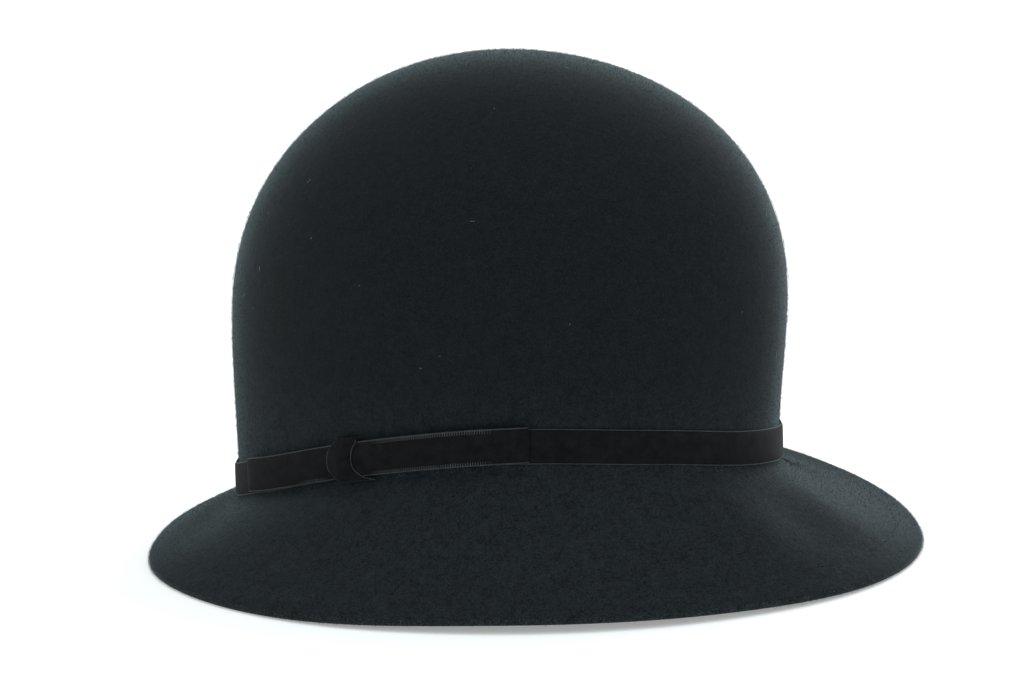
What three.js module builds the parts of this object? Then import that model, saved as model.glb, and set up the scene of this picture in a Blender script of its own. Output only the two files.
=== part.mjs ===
// Cloche hat of dark wool felt, with a narrow velvet ribbon round the crown and a flat tailored bow.
// Millimetres, +Z up. The front of the hat is towards -Y, and the wearer's right is towards -X.
// The hat rests on z = 0 by the edge of its brim.
import * as THREE from 'three';
import { mergeVertices } from 'three/addons/utils/BufferGeometryUtils.js';

// Crown
const CROWN_LENGTH = 202; // outside, front to back, at the widest level
const CROWN_WIDTH = 171; // outside, side to side, at the widest level
const WIDEST_HEIGHT = 74; // widest level above the surface that the hat rests on
const DOME_RISE = 82.5; // from the widest level to the top of the crown
const DOME_FULLNESS = 2.12; // 2 is a plain ellipse, more is fuller at the shoulder
const WALL_DRAW_IN = 1.6; // how far the wall draws in from the widest level to the brim line
const CROWN_DENT = 3; // deepest of the soft dents in the crown

// Felt
const FELT = 1.9; // thickness of the felt
const HEM_THICKNESS = 3.4; // the two felts at the brim's edge, pressed together
const HEM_DEPTH = 10; // felt turned under at the brim's edge
const REST_FLAT = 0.4; // how far the edge is flattened where it rests

// Brim
const BRIM_LINE_HEIGHT = 41; // the line where brim meets crown, at its highest
const BRIM_OVERHANG = 44; // how far the brim reaches out from the crown, at its widest
const EDGE_LIFT = 9.5; // how far the edge turns up at the left rear
const FOLD_HEIGHT = 3; // highest of the soft folds in the brim
const BEND_ABOVE = 2.5; // the bend between crown and brim starts this far above the brim line
const BEND_ALONG = 9; // and ends this far along the brim

// Ribbon and bow
const RIBBON_WIDTH = 10.4;
const RIBBON_THICKNESS = 1.1; // velvet with its pile
const SEAT_GAP = 0.3; // clearance between pieces that touch
const BOW_ANGLE = -64.5; // the knot's place round the crown, from the front towards the wearer's left
const FRONT_WING_LENGTH = 63; // knot's centre to the front wing's folded end, round the crown
const REAR_WING_LENGTH = 55; // and to the rear wing's
const WING_THICKNESS = 1.7; // two layers of ribbon pressed flat
const WING_RISE = 0.7; // a wing's folded end sits this much higher than the ribbon
const WING_TIP = 0.8; // thickness at a wing's folded end
const RIBBON_SOFTNESS = 0.45; // rounding of the ribbon's edges
const KNOT_WIDTH = 9.6; // along the ribbon
const KNOT_REACH = 1.9; // how far the knot stands past each edge of the ribbon
const KNOT_DOME = 2.8; // thickness of the knot at its middle
const KNOT_SIDE = 1.5; // and at its two sides

// Number of facets
const COLUMNS = 72;
const DOME_ROWS = 13;
const INNER_DOME_ROWS = 10;
const WALL_ROWS = 4;
const BEND_ROWS = 3;
const BRIM_ROWS = 8;
const FOLD_STEPS = 6;
const HEM_ROWS = 2;
const UNDER_BRIM_ROWS = 6;
const WING_STEPS = 12;
const KNOT_STEPS = 6;

const FELT_FINISH = { color: 0x1d2326, roughness: 0.95, metalness: 0 };
const VELVET_FINISH = { color: 0x101214, roughness: 0.9, metalness: 0 };

// Brim sections, every 30 degrees round the hat from the front towards the wearer's left.
// line: height of the brim line, as a share of BRIM_LINE_HEIGHT.
// reach: overhang, as a share of BRIM_OVERHANG. lift: height of the edge, as a share of EDGE_LIFT.
// bell: above 0 the brim leaves the crown level and then drops, below 0 it drops and then flares.
const BRIM_SECTIONS = [
  { place: 'front', line: 0.94, reach: 0.83, lift: 0.21, bell: -0.03 },
  { place: 'front left', line: 0.77, reach: 0.95, lift: 0.06, bell: -0.01 },
  { place: 'left front', line: 0.62, reach: 1, lift: 0, bell: -0.04 },
  { place: 'left', line: 0.55, reach: 0.94, lift: 0.43, bell: -0.11 },
  { place: 'left rear', line: 0.58, reach: 0.82, lift: 1, bell: -0.03 },
  { place: 'rear left', line: 0.52, reach: 0.7, lift: 0.7, bell: -0.02 },
  { place: 'rear', line: 0.44, reach: 0.6, lift: 0, bell: 0.05 },
  { place: 'rear right', line: 0.33, reach: 0.52, lift: 0, bell: 0.02 },
  { place: 'right rear', line: 0.29, reach: 0.57, lift: 0, bell: 0.02 },
  { place: 'right', line: 0.54, reach: 0.82, lift: 0, bell: 0.02 },
  { place: 'right front', line: 0.85, reach: 0.9, lift: 0.06, bell: -0.02 },
  { place: 'front right', line: 1, reach: 0.82, lift: 0.27, bell: -0.05 },
];

// Soft folds that run out across the brim. angle and spread are in degrees round the hat, height is a
// share of FOLD_HEIGHT and below 0 is a valley, middle is the share of the brim's width where it peaks.
const BRIM_FOLDS = [
  { place: 'front left ridge', angle: 16, spread: 6, height: 0.5, middle: 0.4 },
  { place: 'front left valley', angle: 28, spread: 6, height: -0.7, middle: 0.45 },
  { place: 'left ridge', angle: 38, spread: 6, height: 0.47, middle: 0.57 },
  { place: 'left valley', angle: 99, spread: 11, height: -0.41, middle: 0.8 },
  { place: 'rear ripple', angle: 172, spread: 18, height: 0.4, middle: 0.5 },
  { place: 'right rear ridge', angle: -122, spread: 10, height: 0.6, middle: 0.45 },
  { place: 'right valley', angle: -100, spread: 9, height: -0.4, middle: 0.5 },
];

// Soft dents of the crown. angle is round the hat, down is from the top in degrees, spread is in
// degrees, and depth is a share of CROWN_DENT, below 0 where the crown is fuller.
const CROWN_DENTS = [
  { place: 'right rear shoulder', angle: -115, down: 42, spread: 24, depth: 0.7 },
  { place: 'left shoulder', angle: 65, down: 62, spread: 22, depth: -0.7 },
  { place: 'top, towards the left', angle: 65, down: 18, spread: 12, depth: 0.1 },
  { place: 'right rear wall', angle: -115, down: 85, spread: 18, depth: 0.15 },
  { place: 'left wall, over the ribbon', angle: 65, down: 112, spread: 20, depth: 1 },
  { place: 'right rear wall, over the ribbon', angle: -115, down: 108, spread: 18, depth: -0.3 },
  { place: 'rear wall', angle: 170, down: 78, spread: 22, depth: 0.5 },
];

const DEGREE = Math.PI / 180;
const FULL_TURN = 2 * Math.PI;
const HEM_RADIUS = HEM_THICKNESS / 2; // the doubled edge folds round its middle
const WALL_TURN = 25; // degrees that the wall takes below the level of the dome, for the crown's dents
const EDGE_ROUNDS = 6; // rounds that settle the brim's edge on the surface
const LENGTH_STEP = 0.25; // degrees in one step along the ribbon
const WELD_DISTANCE = 1e-3; // corners closer than this are one

// Smooth value round the hat of one column of a table with even steps.
function around(table, column, angle) {
  const step = FULL_TURN / table.length;
  const place = (((angle % FULL_TURN) + FULL_TURN) % FULL_TURN) / step;
  const first = Math.floor(place);
  const t = place - first;
  const at = (offset) => table[(first + offset + table.length) % table.length][column];
  const [a, b, c, d] = [at(-1), at(0), at(1), at(2)];
  return b + 0.5 * t * (c - a + t * (2 * a - 5 * b + 4 * c - d + t * (3 * (b - c) + d - a)));
}

function bump(distance, spread) {
  return Math.exp(-0.5 * (distance / spread) ** 2);
}

// Shortest way between two angles, in degrees.
function degreesApart(angle, degrees) {
  const difference = angle / DEGREE - degrees;
  return difference - 360 * Math.round(difference / 360);
}

function brimLine(angle) {
  return BRIM_LINE_HEIGHT * around(BRIM_SECTIONS, 'line', angle);
}

// Point on an oval at a level distance out from the crown's widest oval, along the oval's normal.
function ovalPoint(angle, out, height) {
  const [a, b] = [CROWN_WIDTH / 2, CROWN_LENGTH / 2];
  const normal = new THREE.Vector2(Math.sin(angle) / a, -Math.cos(angle) / b).normalize();
  return new THREE.Vector3(a * Math.sin(angle) + out * normal.x, -b * Math.cos(angle) + out * normal.y, height);
}

function dentDepth(angle, down) {
  const direction = (turn, fall) => new THREE.Vector3().setFromSphericalCoords(1, fall, turn);
  const here = direction(angle, down);
  const depthOf = (dent) => {
    const apart = here.angleTo(direction(dent.angle * DEGREE, dent.down * DEGREE)) / DEGREE;
    return CROWN_DENT * dent.depth * bump(apart, dent.spread);
  };
  return CROWN_DENTS.reduce((sum, dent) => sum + depthOf(dent), 0);
}

// Outside of the crown. down runs from 0 at the top to 90 degrees at the widest level.
function domePoint(angle, down) {
  const share = Math.sin(down) ** (2 / DOME_FULLNESS);
  const rise = Math.max(Math.cos(down), 0) ** (2 / DOME_FULLNESS);
  const point = new THREE.Vector3(
    (CROWN_WIDTH / 2) * share * Math.sin(angle),
    (-CROWN_LENGTH / 2) * share * Math.cos(angle),
    DOME_RISE * rise,
  );
  const inward = point.clone().normalize().multiplyScalar(-dentDepth(angle, down));
  point.add(inward);
  point.z += WIDEST_HEIGHT;
  return point;
}

// How far the upright wall's outside stands out from the widest oval at a height, below 0 if inside it.
function wallReach(angle, height) {
  const foot = brimLine(angle) + BEND_ABOVE;
  const share = (WIDEST_HEIGHT - height) / (WIDEST_HEIGHT - foot);
  const drawn = WALL_DRAW_IN * share * share * (3 - 2 * share);
  return -drawn - dentDepth(angle, (90 + WALL_TURN * share) * DEGREE);
}

function wallFoot(angle) {
  return wallReach(angle, brimLine(angle) + BEND_ABOVE);
}

// Outside of the upright wall, at a share of the way from the widest level down to the bend.
function wallPoint(angle, share) {
  const foot = brimLine(angle) + BEND_ABOVE;
  const height = WIDEST_HEIGHT + (foot - WIDEST_HEIGHT) * share;
  return ovalPoint(angle, wallReach(angle, height), height);
}

// The brim's curve at one angle, as the corners of a quadratic curve in the plane of reach and height.
function brimCurve(angle) {
  const start = new THREE.Vector2(wallFoot(angle), brimLine(angle));
  const reach = BRIM_OVERHANG * around(BRIM_SECTIONS, 'reach', angle);
  const lift = EDGE_LIFT * Math.max(around(BRIM_SECTIONS, 'lift', angle), 0);
  const bell = around(BRIM_SECTIONS, 'bell', angle);
  const end = new THREE.Vector2(start.x + reach, lift + HEM_THICKNESS);
  const middle = new THREE.Vector2();
  for (let round = 0; round < EDGE_ROUNDS; round += 1) {
    middle.set(start.x + reach * (0.5 + bell), start.y - (start.y - end.y) * (0.5 - bell));
    const slope = end.clone().sub(middle).normalize();
    end.y = lift - REST_FLAT + HEM_RADIUS * (1 + slope.x);
  }
  return new THREE.QuadraticBezierCurve(start, middle, end);
}

function foldHeight(angle, share) {
  const heightOf = (fold) => {
    const along = share < fold.middle ? share / fold.middle : (1 - share) / (1 - fold.middle);
    const swell = along * along * (3 - 2 * along);
    return FOLD_HEIGHT * fold.height * swell * bump(degreesApart(angle, fold.angle), fold.spread);
  };
  return BRIM_FOLDS.reduce((sum, fold) => sum + heightOf(fold), 0);
}

function bendEnd(curve) {
  return BEND_ALONG / curve.getLength();
}

// Outside of the bend between crown and brim.
function bendPoint(angle, share) {
  const curve = brimCurve(angle);
  const stop = bendEnd(curve);
  const top = curve.v0.clone().setY(curve.v0.y + BEND_ABOVE);
  const bend = new THREE.QuadraticBezierCurve(top, curve.v0, curve.getPoint(stop)).getPoint(share);
  return ovalPoint(angle, bend.x, bend.y + foldHeight(angle, stop) * share * share);
}

// Outside of the brim, from the end of the bend to the edge.
function brimPoint(angle, share) {
  const curve = brimCurve(angle);
  const stop = bendEnd(curve);
  const along = stop + (1 - stop) * share;
  const flat = curve.getPoint(along);
  return ovalPoint(angle, flat.x, flat.y + foldHeight(angle, along));
}

// The felt's outside, by stage: 0 to 1 dome, 1 to 2 wall, 2 to 3 bend, 3 to 4 brim.
function outside(angle, stage) {
  if (stage <= 1) return domePoint(angle, stage * 90 * DEGREE);
  if (stage <= 2) return wallPoint(angle, stage - 1);
  if (stage <= 3) return bendPoint(angle, stage - 2);
  return brimPoint(angle, stage - 3);
}

// Direction down the felt's outside, and the direction straight out of it.
function directions(angle, stage) {
  const nudge = 1e-3;
  const low = Math.max(stage - nudge, nudge / 2);
  const high = Math.min(stage + nudge, 4);
  const down = outside(angle, high).sub(outside(angle, low)).normalize();
  const round = outside(angle + nudge, high).sub(outside(angle - nudge, high));
  const out = new THREE.Vector3().crossVectors(down, round).normalize();
  return { down, out };
}

function offsetPoint(angle, stage, depth) {
  const { out } = directions(angle, stage);
  return outside(angle, stage).addScaledVector(out, -depth);
}

// One ring of points round the hat, none lower than the surface that it rests on.
function ring(pointAt) {
  return Array.from({ length: COLUMNS }, (_, column) => {
    const point = pointAt((column / COLUMNS) * FULL_TURN);
    point.z = Math.max(point.z, 0);
    return point;
  });
}

function steps(from, to, count) {
  return Array.from({ length: count }, (_, step) => from + ((to - from) * (step + 1)) / count);
}

// The rounded edge where the felt folds under.
function edgeRing(turn) {
  return ring((angle) => {
    const { down, out } = directions(angle, 4);
    const middle = outside(angle, 4).addScaledVector(out, -HEM_RADIUS);
    return middle
      .addScaledVector(out, HEM_RADIUS * Math.cos(turn))
      .addScaledVector(down, HEM_RADIUS * Math.sin(turn));
  });
}

function hemStage(angle) {
  const curve = brimCurve(angle);
  const brimLength = curve.getLength() - BEND_ALONG;
  return 4 - HEM_DEPTH / brimLength;
}

// A closed body from triangles, whose corners run counter-clockwise seen from outside.
function closedBody(name, finish, triangles) {
  const geometry = new THREE.BufferGeometry();
  const positions = triangles.flat().flatMap((point) => [point.x, point.y, point.z]);
  geometry.setAttribute('position', new THREE.Float32BufferAttribute(positions, 3));
  const merged = mergeVertices(geometry, WELD_DISTANCE);
  merged.computeVertexNormals();
  const mesh = new THREE.Mesh(merged, new THREE.MeshStandardMaterial(finish));
  mesh.name = name;
  return mesh;
}

function band(upper, lower, closed) {
  const count = closed ? upper.length : upper.length - 1;
  return Array.from({ length: count }, (_, i) => {
    const j = (i + 1) % upper.length;
    return [
      [upper[i], lower[i], lower[j]],
      [upper[i], lower[j], upper[j]],
    ];
  }).flat();
}

function fan(tip, rim, tipFirst) {
  return rim.map((point, i) => {
    const next = rim[(i + 1) % rim.length];
    return tipFirst ? [tip, point, next] : [tip, next, point];
  });
}

function feltBody() {
  const outerStages = [
    ...steps(0, 1, DOME_ROWS),
    ...steps(1, 2, WALL_ROWS),
    ...steps(2, 3, BEND_ROWS),
    ...steps(3, 4, BRIM_ROWS),
  ];
  const rings = outerStages.map((stage) => ring((angle) => outside(angle, stage)));
  steps(0, Math.PI, FOLD_STEPS).forEach((turn) => rings.push(edgeRing(turn)));
  steps(0, 1, HEM_ROWS).forEach((share) => {
    rings.push(ring((angle) => offsetPoint(angle, 4 + (hemStage(angle) - 4) * share, HEM_THICKNESS)));
  });
  [0, ...steps(0, 1, UNDER_BRIM_ROWS)].forEach((share) => {
    rings.push(ring((angle) => offsetPoint(angle, hemStage(angle) + (3 - hemStage(angle)) * share, FELT)));
  });
  const innerStages = [
    ...steps(3, 2, BEND_ROWS),
    ...steps(2, 1, WALL_ROWS),
    ...steps(1, 0, INNER_DOME_ROWS).slice(0, -1),
  ];
  innerStages.forEach((stage) => rings.push(ring((angle) => offsetPoint(angle, stage, FELT))));
  const top = outside(0, 0);
  const innerTop = top.clone().setZ(top.z - FELT);
  const sides = rings.slice(1).flatMap((lower, i) => band(rings[i], lower, true));
  const triangles = [...fan(top, rings[0], true), ...sides, ...fan(innerTop, rings.at(-1), false)];
  return closedBody('felt_body', FELT_FINISH, triangles);
}

// Point beside the crown's wall, at a height above the ribbon's lower edge and a distance off the felt.
function ribbonPoint(angle, above, off) {
  const height = brimLine(angle) + BEND_ABOVE + above;
  return ovalPoint(angle, wallReach(angle, height) + SEAT_GAP + off, height);
}

// A soft-edged section of pressed ribbon, from its lower inside corner round by the outside.
function ribbonSection(thickness) {
  const soft = RIBBON_SOFTNESS;
  return [
    { above: 0, off: 0 },
    { above: 0, off: thickness - soft },
    { above: soft, off: thickness },
    { above: RIBBON_WIDTH - soft, off: thickness },
    { above: RIBBON_WIDTH, off: thickness - soft },
    { above: RIBBON_WIDTH, off: 0 },
  ];
}

function ribbonBand() {
  const rings = ribbonSection(RIBBON_THICKNESS).map(({ above, off }) =>
    ring((angle) => ribbonPoint(angle, above, off)),
  );
  const triangles = rings.flatMap((upper, i) => band(rings[(i + 1) % rings.length], upper, true));
  return closedBody('ribbon_band', VELVET_FINISH, triangles);
}

// Angle reached by going a length round the ribbon, towards the wearer's left when it is above 0.
function angleAlong(start, length) {
  const step = Math.sign(length) * LENGTH_STEP * DEGREE;
  let angle = start;
  let gone = 0;
  while (gone < Math.abs(length)) {
    const next = ribbonPoint(angle + step, 0, RIBBON_THICKNESS).sub(ribbonPoint(angle, 0, RIBBON_THICKNESS));
    gone += Math.hypot(next.x, next.y);
    angle += step;
  }
  return angle;
}

// A closed body from sections that follow each other round the crown.
function sweep(name, finish, sections) {
  const walls = sections.slice(1).flatMap((next, i) => band(sections[i], next, true));
  const middleOf = (section) =>
    section.reduce((sum, point) => sum.add(point), new THREE.Vector3()).divideScalar(section.length);
  const first = sections[0];
  const last = sections.at(-1);
  const caps = [...fan(middleOf(first), first, true), ...fan(middleOf(last), last, false)];
  return closedBody(name, finish, [...walls, ...caps]);
}

// One flat wing of the bow, from beside the knot to its folded end.
function bowWing(name, side, wingLength) {
  const base = RIBBON_THICKNESS + SEAT_GAP;
  const start = KNOT_WIDTH / 2 + SEAT_GAP;
  const sections = [0, ...steps(0, 1, WING_STEPS)].map((share) => {
    const angle = angleAlong(BOW_ANGLE * DEGREE, side * (start + (wingLength - start) * share));
    const shape = ribbonSection(share === 1 ? WING_TIP : WING_THICKNESS);
    return shape.map(({ above, off }) => ribbonPoint(angle, above + WING_RISE * share, base + off));
  });
  return sweep(name, VELVET_FINISH, side > 0 ? sections : sections.reverse());
}

// The knot's section, from behind its lower edge round by the front to behind its upper edge.
// above is a share of its half height, off a share of its thickness.
const KNOT_SECTION = [
  { above: 0, off: 0 },
  { above: -0.9, off: 0.05 },
  { above: -1, off: 0.35 },
  { above: -0.72, off: 0.75 },
  { above: -0.3, off: 1 },
  { above: 0.3, off: 1 },
  { above: 0.72, off: 0.75 },
  { above: 1, off: 0.35 },
  { above: 0.9, off: 0.05 },
];

// The knot: a loop of ribbon pulled tight round the waist of the bow, domed in front.
function bowKnot() {
  const base = RIBBON_THICKNESS + SEAT_GAP;
  const half = RIBBON_WIDTH / 2 + KNOT_REACH;
  const sections = [-1, ...steps(-1, 1, KNOT_STEPS)].map((across) => {
    const angle = angleAlong(BOW_ANGLE * DEGREE, (across * KNOT_WIDTH) / 2);
    const swell = Math.sqrt(Math.max(1 - across * across, 0));
    const thickness = KNOT_SIDE + (KNOT_DOME - KNOT_SIDE) * swell;
    const height = half - (SEAT_GAP + WING_RISE) * (1 - swell);
    return KNOT_SECTION.map(({ above, off }) =>
      ribbonPoint(angle, RIBBON_WIDTH / 2 + height * above, base + thickness * off),
    );
  });
  return sweep('bow_knot', VELVET_FINISH, sections);
}

const hat = new THREE.Group();
hat.name = 'cloche_hat';
hat.add(feltBody(), ribbonBand(), bowKnot());
hat.add(bowWing('bow_wing_front', 1, FRONT_WING_LENGTH), bowWing('bow_wing_rear', -1, REAR_WING_LENGTH));

// The origin is under the middle of the hat's box, on the surface that it rests on.
const middle = new THREE.Box3().setFromObject(hat).getCenter(new THREE.Vector3());
hat.position.set(-middle.x, -middle.y, 0);

export default hat;
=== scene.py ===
"""Looks of a dark wool felt cloche hat, with a narrow velvet ribbon and a flat tailored bow.

Lengths are in metres in the part's own frame: +Z up, -Y towards the hat's front, -X towards the
wearer's right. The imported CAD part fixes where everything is; this script adds felt, nap, lint, hem
stitches, velvet, selvedges, the studio and the camera.
"""

import logging
import math
import random
from dataclasses import dataclass, field
from enum import Enum
from typing import Callable, Sequence

import bmesh
import bpy
from mathutils import Matrix, Vector
from mathutils.bvhtree import BVHTree


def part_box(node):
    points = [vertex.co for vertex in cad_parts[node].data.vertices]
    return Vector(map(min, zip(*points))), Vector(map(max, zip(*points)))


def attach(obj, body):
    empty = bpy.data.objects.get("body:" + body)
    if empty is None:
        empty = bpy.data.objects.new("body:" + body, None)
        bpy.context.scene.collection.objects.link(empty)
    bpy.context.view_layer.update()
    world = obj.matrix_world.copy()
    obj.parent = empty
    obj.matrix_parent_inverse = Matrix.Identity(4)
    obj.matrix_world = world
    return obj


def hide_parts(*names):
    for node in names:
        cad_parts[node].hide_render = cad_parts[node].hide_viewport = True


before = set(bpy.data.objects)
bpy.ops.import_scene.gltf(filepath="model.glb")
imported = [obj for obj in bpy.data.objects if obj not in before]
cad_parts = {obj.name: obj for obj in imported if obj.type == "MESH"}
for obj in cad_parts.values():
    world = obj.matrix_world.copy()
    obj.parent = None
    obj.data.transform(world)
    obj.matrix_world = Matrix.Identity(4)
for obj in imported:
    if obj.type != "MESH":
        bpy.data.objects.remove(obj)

LOG = logging.getLogger("cloche_hat")
MM = 0.001
UP = Vector((0, 0, 1))
SEED = 2471
SAME_POINT = 1e-6
LEAST_SIDE = 1e-4
NOISE_MEAN = 0.5
NOISE_ROUGHNESS = 0.6
# Sockets of a Mix node that mixes colours, by number because its other types share their names.
MIX_SHARE, MIX_FIRST, MIX_SECOND, MIX_RESULT = 0, 6, 7, 2
ROOT = "root"
FELT_NODE = "felt_body"
BAND_NODE = "ribbon_band"
FRONT_WING_NODE = "bow_wing_front"
REAR_WING_NODE = "bow_wing_rear"
KNOT_NODE = "bow_knot"


class Slot(Enum):
    """The record's material slots."""

    FELT = "felt"
    VELVET = "velvet"


class Edge(Enum):
    """The edges of a ribbon."""

    LOWER = "lower"
    UPPER = "upper"


class Fold(Enum):
    """Which end of a ribbon's path is folded back, if any."""

    NONE = "none"
    FIRST = "first"
    LAST = "last"


class Held(Enum):
    """What keeps a ribbon in its shape."""

    STRETCHED = "stretched"
    FOLDED = "folded"


class Leaf(Enum):
    """A layer of ribbon, by where it lies."""

    SINGLE = "single"
    BACK = "back"
    FRONT = "front"


def srgb(code: str) -> tuple[float, float, float, float]:
    """Turns a colour code into the linear colour that shaders use.

    Args:
        code: an sRGB colour as six hexadecimal digits.

    Returns:
        Linear red, green, blue and alpha.
    """
    parts = [int(code[i : i + 2], 16) / 255 for i in (0, 2, 4)]
    linear = [c / 12.92 if c <= 0.04045 else ((c + 0.055) / 1.055) ** 2.4 for c in parts]
    return (*linear, 1.0)


class NodeSheet:
    """The nodes of a material or of the surroundings, emptied to start with."""

    def __init__(self, owner: bpy.types.Material | bpy.types.World) -> None:
        """Takes over the owner's nodes.

        Args:
            owner: the material or the surroundings.
        """
        owner.use_nodes = True
        self.tree = owner.node_tree
        self.tree.nodes.clear()

    def add(self, kind: str, inputs: dict | None = None, **settings: object) -> bpy.types.Node:
        """Adds a node with its settings and links.

        Args:
            kind: the node's type name.
            inputs: socket name or number to a constant or to another node's output.
            settings: the node's own settings.

        Returns:
            The new node.
        """
        node = self.tree.nodes.new(kind)
        for name, value in settings.items():
            setattr(node, name, value)
        for name, value in (inputs or {}).items():
            if isinstance(value, bpy.types.NodeSocket):
                self.tree.links.new(value, node.inputs[name])
            else:
                node.inputs[name].default_value = value
        return node


@dataclass(frozen=True)
class WoolFelt:
    """Blocked wool felt.

    Its matted fibres scatter nearly all light, so it is dull and mottled, with a pale bloom where
    it is seen edge on. A wool fibre is about 0.03 mm thick, too fine to show, so the grain is drawn
    as clumps of fibre half a millimetre wide. The crown was pressed harder than the brim, so it is
    smoother. Its colour is painted shade and light: darker on the crown and lighter on the brim.

    Attributes:
        clump_mm: width of a clump of fibres.
        lump_mm: width of a thicker place in the felt.
        cloud_mm: width of a lighter or darker patch.
        details: how finely each of these three is broken up.
        brim_top_mm: height up to which the felt is as on the brim.
        crown_foot_mm: height from which it is as on the crown.
        shade: painted shade and light, as brightness on the brim and on the crown.
        grain: strength of the grain on the brim and on the crown.
        tone: share of clumps, lumps and clouds in the colour.
        rise: share of clumps, lumps and clouds in the relief.
    """

    name: str = "wool_felt"
    dark: str = "0a0d10"
    light: str = "23292c"
    sheen_tint: str = "b2cdd1"
    sheen: float = 0.43
    sheen_roughness: float = 0.25
    roughness: float = 0.96
    specular: float = 0.18
    clump_mm: float = 0.55
    lump_mm: float = 1.8
    cloud_mm: float = 5.0
    details: tuple[float, float, float] = (4.0, 2.0, 4.0)
    relief_mm: float = 0.1
    contrast: float = 0.38
    brim_top_mm: float = 30.0
    crown_foot_mm: float = 75.0
    shade: tuple[float, float] = (1.25, 0.74)
    grain: tuple[float, float] = (1.0, 0.6)
    tone: tuple[float, float, float] = (1.0, 0.45, 0.3)
    rise: tuple[float, float, float] = (1.0, 1.2, 0.8)

    def material(self) -> bpy.types.Material:
        """Builds the material.

        Returns:
            The felt, smoother from the brim up to the crown, and painted darker towards the crown as
            painted shade.
        """
        made = bpy.data.materials.new(self.name)
        sheet = NodeSheet(made)
        place = sheet.add("ShaderNodeTexCoord").outputs["Object"]
        noises = []
        for size, detail in zip((self.clump_mm, self.lump_mm, self.cloud_mm), self.details):
            looks = {
                "Vector": place,
                "Scale": 1 / (size * MM),
                "Detail": detail,
                "Roughness": NOISE_ROUGHNESS,
            }
            noises.append(sheet.add("ShaderNodeTexNoise", looks).outputs["Fac"])
        height = sheet.add("ShaderNodeSeparateXYZ", {"Vector": place}).outputs["Z"]
        by_height = []
        for low, high in (self.shade, self.grain):
            limits = {
                "Value": height,
                "From Min": self.brim_top_mm * MM,
                "From Max": self.crown_foot_mm * MM,
                "To Min": low,
                "To Max": high,
            }
            ramp = sheet.add("ShaderNodeMapRange", limits, interpolation_type="SMOOTHSTEP")
            by_height.append(ramp.outputs["Result"])
        shade, grain = by_height
        sums = []
        for weights in (self.tone, self.rise):
            total: float | bpy.types.NodeSocket = -NOISE_MEAN * sum(weights)
            for noise, weight in zip(noises, weights):
                terms = {0: noise, 1: weight, 2: total}
                total = sheet.add("ShaderNodeMath", terms, operation="MULTIPLY_ADD").outputs[0]
            scaled = sheet.add("ShaderNodeMath", {0: total, 1: grain}, operation="MULTIPLY")
            sums.append(scaled.outputs[0])
        tone, rise = sums
        ends = {"Value": tone, "From Min": -self.contrast / 2, "From Max": self.contrast / 2}
        share = sheet.add("ShaderNodeMapRange", ends).outputs["Result"]
        colours = {
            MIX_SHARE: share,
            MIX_FIRST: srgb(self.dark),
            MIX_SECOND: srgb(self.light),
        }
        plain = sheet.add("ShaderNodeMix", colours, data_type="RGBA").outputs[MIX_RESULT]
        # Painted shade and light: the colour is scaled lighter on the brim and darker on the crown.
        scale = {0: plain, "Scale": shade}
        colour = sheet.add("ShaderNodeVectorMath", scale, operation="SCALE").outputs["Vector"]
        relief = {"Height": rise, "Strength": 1.0, "Distance": self.relief_mm * MM}
        surface = {
            "Base Color": colour,
            "Roughness": self.roughness,
            "Specular IOR Level": self.specular,
            "Sheen Weight": self.sheen,
            "Sheen Roughness": self.sheen_roughness,
            "Sheen Tint": srgb(self.sheen_tint),
            "Normal": sheet.add("ShaderNodeBump", relief).outputs["Normal"],
        }
        shader = sheet.add("ShaderNodeBsdfPrincipled", surface).outputs["BSDF"]
        sheet.add("ShaderNodeOutputMaterial", {"Surface": shader})
        return made


@dataclass(frozen=True)
class Textile:
    """Velvet pile, twisted thread or loose wool.

    Two colours are mixed by a fine and a coarse noise, as brushed pile and twisted fibre catch the
    light unevenly. Velvet pile is finer than a pixel, so its grain is drawn just wide enough to
    show.

    Attributes:
        fine_mm: width of the fine noise.
        coarse_mm: width of the coarse noise.
        detail: how finely both are broken up.
    """

    name: str
    dark: str
    light: str
    roughness: float = 0.9
    specular: float = 0.12
    sheen: float = 0.0
    sheen_tint: str = "ffffff"
    sheen_roughness: float = 0.3
    fine_mm: float = 0.28
    coarse_mm: float = 3.4
    detail: float = 2.0
    contrast: float = 0.5
    relief_mm: float = 0.0

    def material(self) -> bpy.types.Material:
        """Builds the material.

        Returns:
            The textile's material.
        """
        made = bpy.data.materials.new(self.name)
        sheet = NodeSheet(made)
        place = sheet.add("ShaderNodeTexCoord").outputs["Object"]
        sizes = (self.fine_mm, self.coarse_mm)
        total: float | bpy.types.NodeSocket = -NOISE_MEAN * len(sizes)
        for size in sizes:
            looks = {
                "Vector": place,
                "Scale": 1 / (size * MM),
                "Detail": self.detail,
                "Roughness": NOISE_ROUGHNESS,
            }
            noise = sheet.add("ShaderNodeTexNoise", looks).outputs["Fac"]
            terms = {0: noise, 1: total}
            total = sheet.add("ShaderNodeMath", terms, operation="ADD").outputs[0]
        ends = {"Value": total, "From Min": -self.contrast / 2, "From Max": self.contrast / 2}
        share = sheet.add("ShaderNodeMapRange", ends).outputs["Result"]
        colours = {
            MIX_SHARE: share,
            MIX_FIRST: srgb(self.dark),
            MIX_SECOND: srgb(self.light),
        }
        mixed = sheet.add("ShaderNodeMix", colours, data_type="RGBA").outputs[MIX_RESULT]
        surface = {
            "Base Color": mixed,
            "Roughness": self.roughness,
            "Specular IOR Level": self.specular,
            "Sheen Weight": self.sheen,
            "Sheen Roughness": self.sheen_roughness,
            "Sheen Tint": srgb(self.sheen_tint),
        }
        if self.relief_mm:
            relief = {"Height": total, "Strength": 1.0, "Distance": self.relief_mm * MM}
            surface["Normal"] = sheet.add("ShaderNodeBump", relief).outputs["Normal"]
        shader = sheet.add("ShaderNodeBsdfPrincipled", surface).outputs["BSDF"]
        sheet.add("ShaderNodeOutputMaterial", {"Surface": shader})
        return made


FELT = WoolFelt()
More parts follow.
